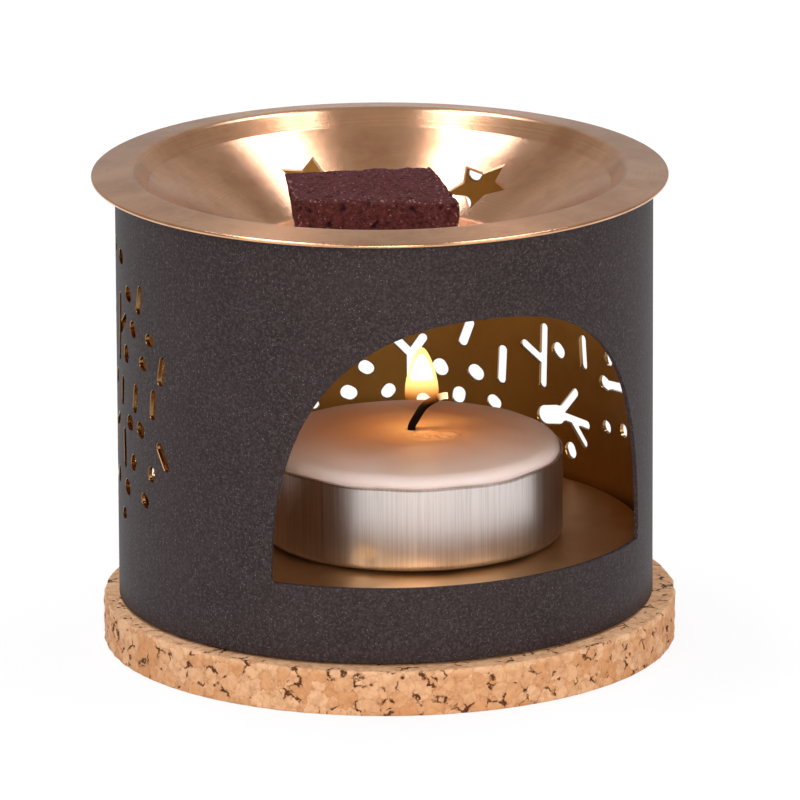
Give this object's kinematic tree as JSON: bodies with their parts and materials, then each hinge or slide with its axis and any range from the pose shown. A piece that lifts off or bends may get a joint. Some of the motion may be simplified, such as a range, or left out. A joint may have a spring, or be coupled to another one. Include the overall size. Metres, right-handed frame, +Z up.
{
  "type": "incense holder",
  "caption": "Incense holder: a pierced steel tube with an arched window on a cork base, a tealight inside it, and a spun bowl on top that warms a block of incense.",
  "frame": {"origin": "on the axis of the tube, at the cork base's underside", "axes": "+Z up along the tube's axis, -Y out through the middle of the window, +X to the right as seen from in front of the window"},
  "size_m": [0.076, 0.0755, 0.0631],
  "materials": {
    "cork": "pressed cork granules, matte",
    "powder_coat": "charcoal powder coat outside, gold lacquer inside, matte",
    "gold_lacquer": "gold lacquer, satin",
    "copper_plate": "spun, copper coloured, satin",
    "incense": "pressed incense, crumbly and matte",
    "aluminium": "drawn, satin",
    "wax": "paraffin wax, translucent satin",
    "wick": "charred cotton",
    "tinned_steel": "tinned sheet"
  },
  "bodies": {
    "coaster": {"cork_base": "cork"},
    "burner": {"housing": "powder_coat", "floor_pan": "gold_lacquer"},
    "bowl": {"dish": "copper_plate"},
    "incense": {"incense_block": "incense"},
    "tealight": {"tealight_cup": "aluminium", "tealight_wax": "wax", "wick": "wick", "wick_sustainer": "tinned_steel"}
  },
  "joints": [
    {"name": "burner_lift", "type": "slide", "parent": "coaster", "child": "burner", "axis": [0, 0, 1], "range_m": [0, 0.02]},
    {"name": "bowl_lift", "type": "slide", "parent": "burner", "child": "bowl", "axis": [0, 0, 1], "range_m": [0, 0.03]},
    {"name": "incense_lift", "type": "slide", "parent": "bowl", "child": "incense", "axis": [0, 0, 1], "range_m": [0, 0.02]},
    {"name": "tealight_draw", "type": "slide", "parent": "burner", "child": "tealight", "axis": [0, -0.9781, 0.2079], "range_m": [0, 0.06]}
  ]
}
